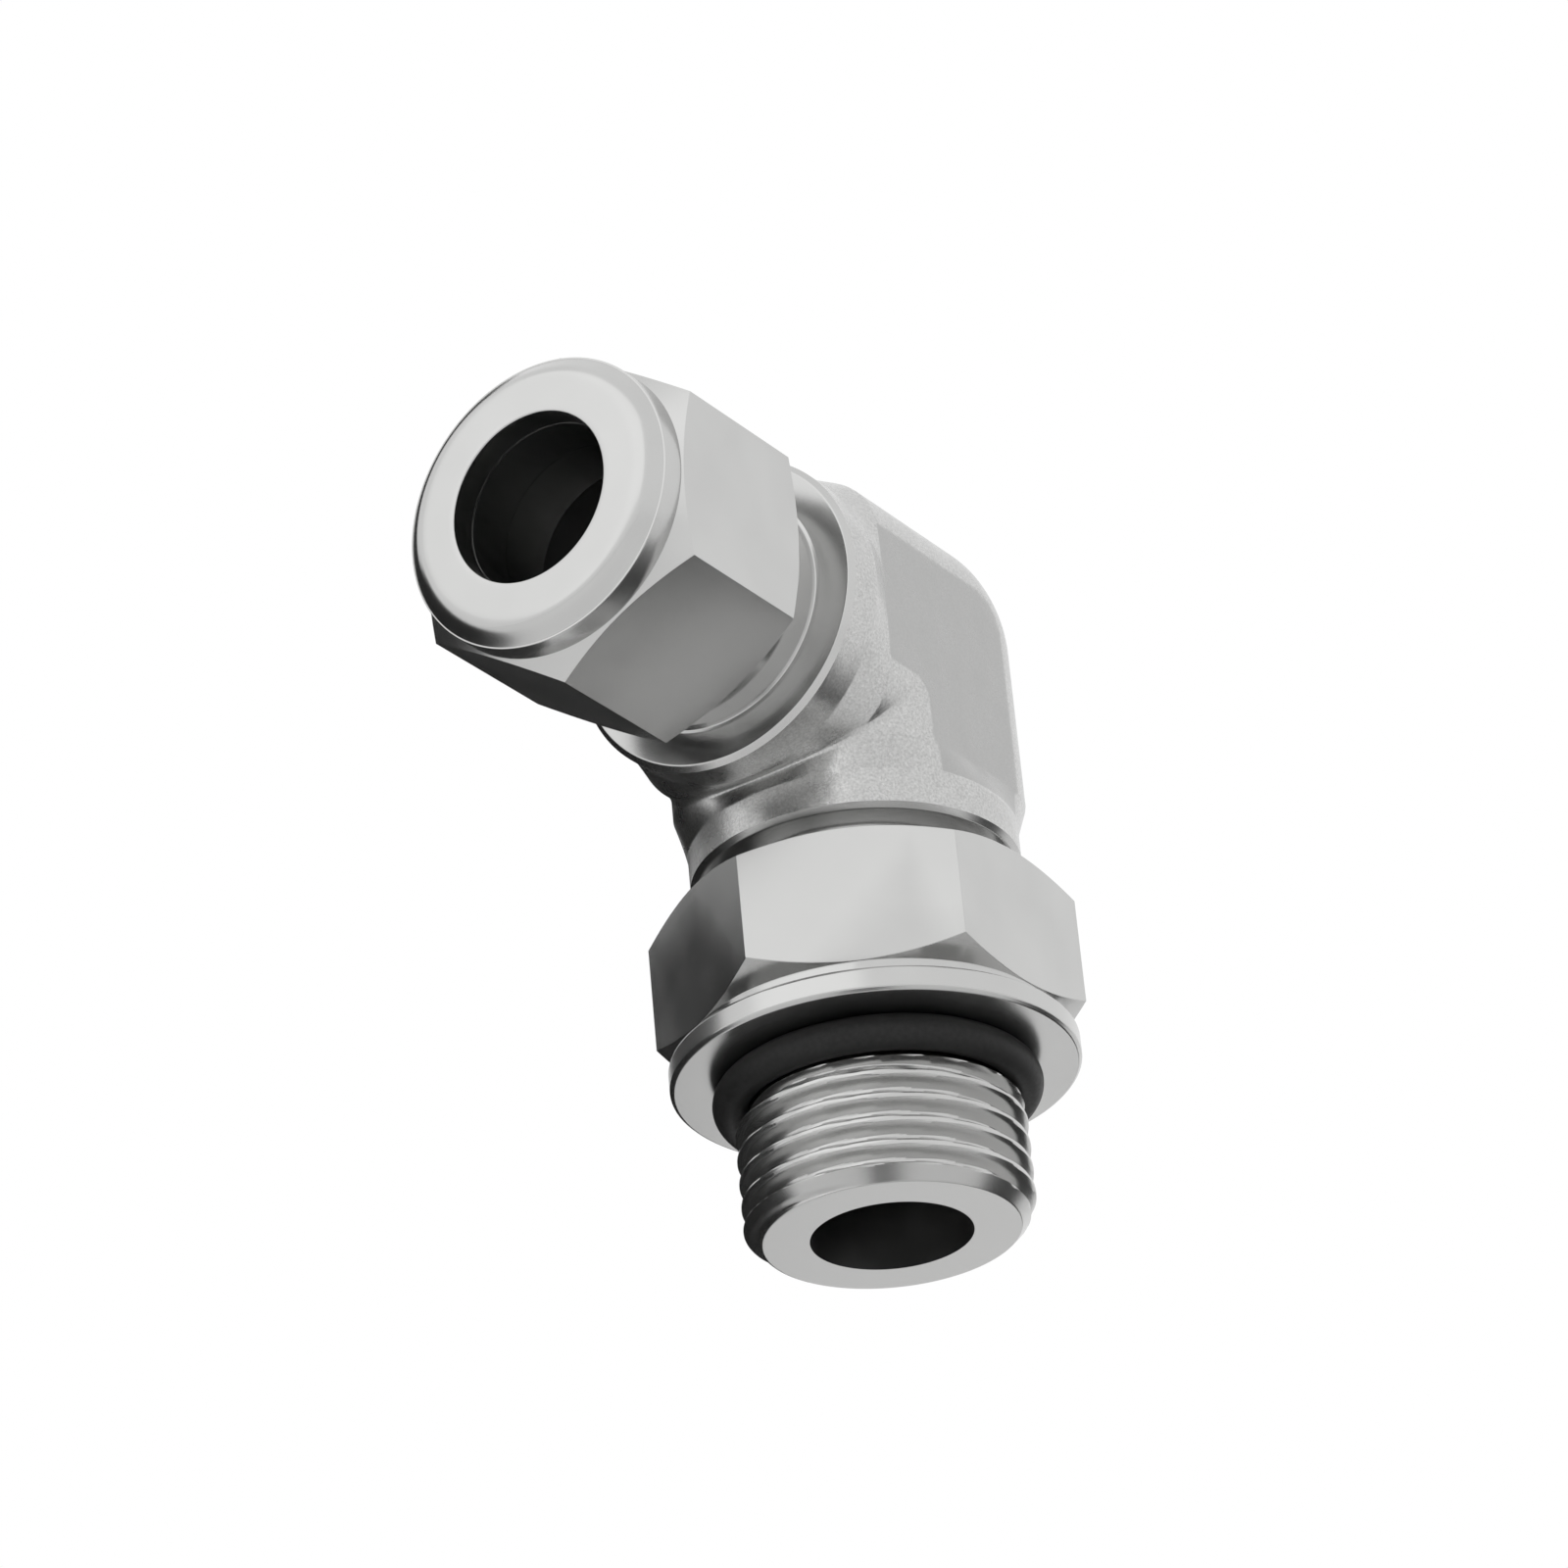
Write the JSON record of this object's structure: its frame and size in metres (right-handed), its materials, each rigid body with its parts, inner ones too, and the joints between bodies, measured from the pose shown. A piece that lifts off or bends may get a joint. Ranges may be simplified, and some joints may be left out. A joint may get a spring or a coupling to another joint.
{
  "type": "male elbow fitting",
  "caption": "Right-angle tube fitting with a twin-ferrule compression end and an orientable parallel-thread stud with lock nut, back-up washer and seal ring.",
  "frame": {"origin": "centre of the stud's end face, on the stud's axis", "axes": "+Z along the stud's axis towards the bend, -Y along the tube arm towards its nut, +X out of one wrench flat of the body"},
  "size_m": [0.0296, 0.0542, 0.0568],
  "materials": {
    "body_steel": "blasted forging",
    "machined_steel": "turned and milled",
    "seal_rubber": "satin"
  },
  "bodies": {
    "elbow": {"elbow_body": "body_steel", "o_ring": "seal_rubber"},
    "ferrules": {"back_ferrule": "machined_steel", "front_ferrule": "machined_steel"},
    "tube_nut": {"tube_nut": "machined_steel"},
    "washer": {"backup_washer": "machined_steel"},
    "lock_nut": {"lock_nut": "machined_steel"}
  },
  "joints": [
    {"name": "ferrule_slide", "type": "slide", "parent": "elbow", "child": "ferrules", "axis": [0, -1, 0], "range_m": [0, 0.00889]},
    {"name": "tube_nut_turn", "type": "hinge", "parent": "ferrules", "child": "tube_nut", "pos_m": [0, -0.03, 0.044], "axis": [0, -1, 0], "range_deg": [0, 2520]},
    {"name": "washer_slide", "type": "slide", "parent": "elbow", "child": "washer", "axis": [0, 0, 1], "range_m": [0, 0.0021]},
    {"name": "lock_nut_turn", "type": "hinge", "parent": "washer", "child": "lock_nut", "pos_m": [0, 0, 0.02], "axis": [0, 0, 1], "range_deg": [0, 416]}
  ],
  "couplings": [
    {"joint": "ferrule_slide", "follows": "tube_nut_turn", "m_per_rad": 0.00020213},
    {"joint": "washer_slide", "follows": "lock_nut_turn", "m_per_rad": 0.00028871}
  ]
}
